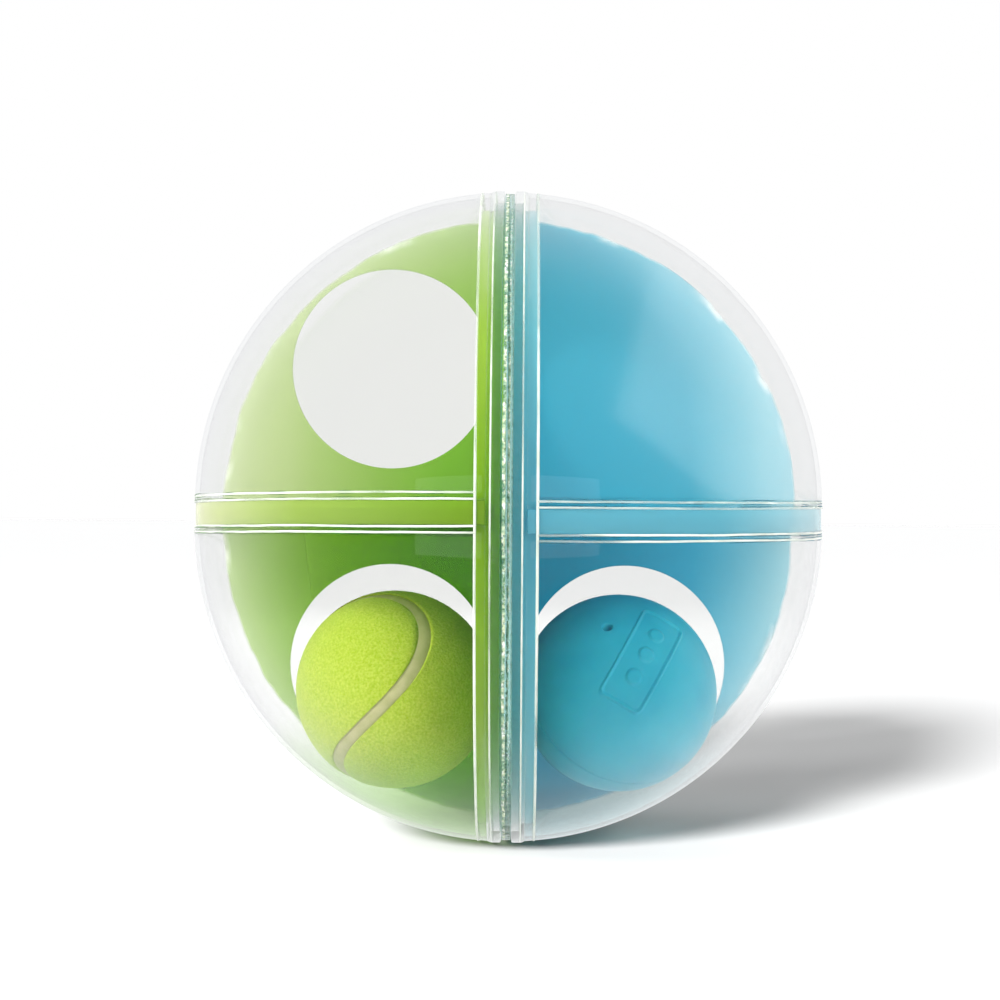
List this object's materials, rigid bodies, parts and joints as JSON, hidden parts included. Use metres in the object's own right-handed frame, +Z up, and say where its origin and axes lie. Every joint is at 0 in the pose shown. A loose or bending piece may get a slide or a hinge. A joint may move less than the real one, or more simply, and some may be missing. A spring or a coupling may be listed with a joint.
{
  "type": "tennis ball puzzle sphere",
  "caption": "Clear plastic sphere in a green-tinted and a blue-tinted half, divided into ported cells, holding a tennis ball and a rubber squeak ball.",
  "frame": {"origin": "centre of the sphere, on the axis of the seam ring and in the seam plane", "axes": "+X along the seam ring's axis, from the green half to the blue half; +Z up, from the lower cells to the upper cells; +Y to the rear, away from the cells that hold the balls"},
  "size_m": [0.2184, 0.2262, 0.2262],
  "materials": {
    "clear_shell": "polished clear",
    "green_tint": "polished, transparent green",
    "blue_tint": "polished, transparent blue",
    "frosted_ring": "frosted clear with a rough weld line",
    "felt": "optic green napped felt",
    "seam_rubber": "matte",
    "core_rubber": "matte",
    "blue_rubber": "satin moulded",
    "squeaker_plastic": "moulded"
  },
  "bodies": {
    "green_half": {"green_collar": "clear_shell", "green_upper_shell": "clear_shell", "green_lower_shell": "clear_shell", "green_seam_wall": "green_tint", "green_shelf": "green_tint", "green_upper_panel": "green_tint", "green_lower_panel": "green_tint"},
    "seam_ring": {"seam_ring": "frosted_ring"},
    "blue_half": {"blue_collar": "clear_shell", "blue_upper_shell": "clear_shell", "blue_lower_shell": "clear_shell", "blue_seam_wall": "blue_tint", "blue_shelf": "blue_tint", "blue_upper_panel": "blue_tint", "blue_lower_panel": "blue_tint"},
    "tennis_ball": {"tennis_core_front": "core_rubber", "tennis_core_back": "core_rubber", "felt_panel_a": "felt", "felt_panel_b": "felt", "felt_seam": "seam_rubber"},
    "rubber_ball": {"rubber_ball_front": "blue_rubber", "rubber_ball_back": "blue_rubber", "squeaker_body": "squeaker_plastic", "squeaker_reed": "squeaker_plastic"}
  },
  "joints": [
    {"name": "halves_twist", "type": "hinge", "parent": "green_half", "child": "seam_ring", "pos_m": [0, 0, 0], "axis": [1, 0, 0], "continuous": true},
    {"name": "halves_pull_apart", "type": "slide", "parent": "seam_ring", "child": "blue_half", "axis": [1, 0, 0], "range_m": [0, 0.08]},
    {"name": "tennis_ball_travel", "type": "slide", "parent": "green_half", "child": "tennis_ball", "axis": [-0.108, 0.9776, 0.1808], "range_m": [0, 0.0685]},
    {"name": "rubber_ball_travel", "type": "slide", "parent": "blue_half", "child": "rubber_ball", "axis": [0.108, 0.9729, 0.2046], "range_m": [0, 0.0685]}
  ]
}
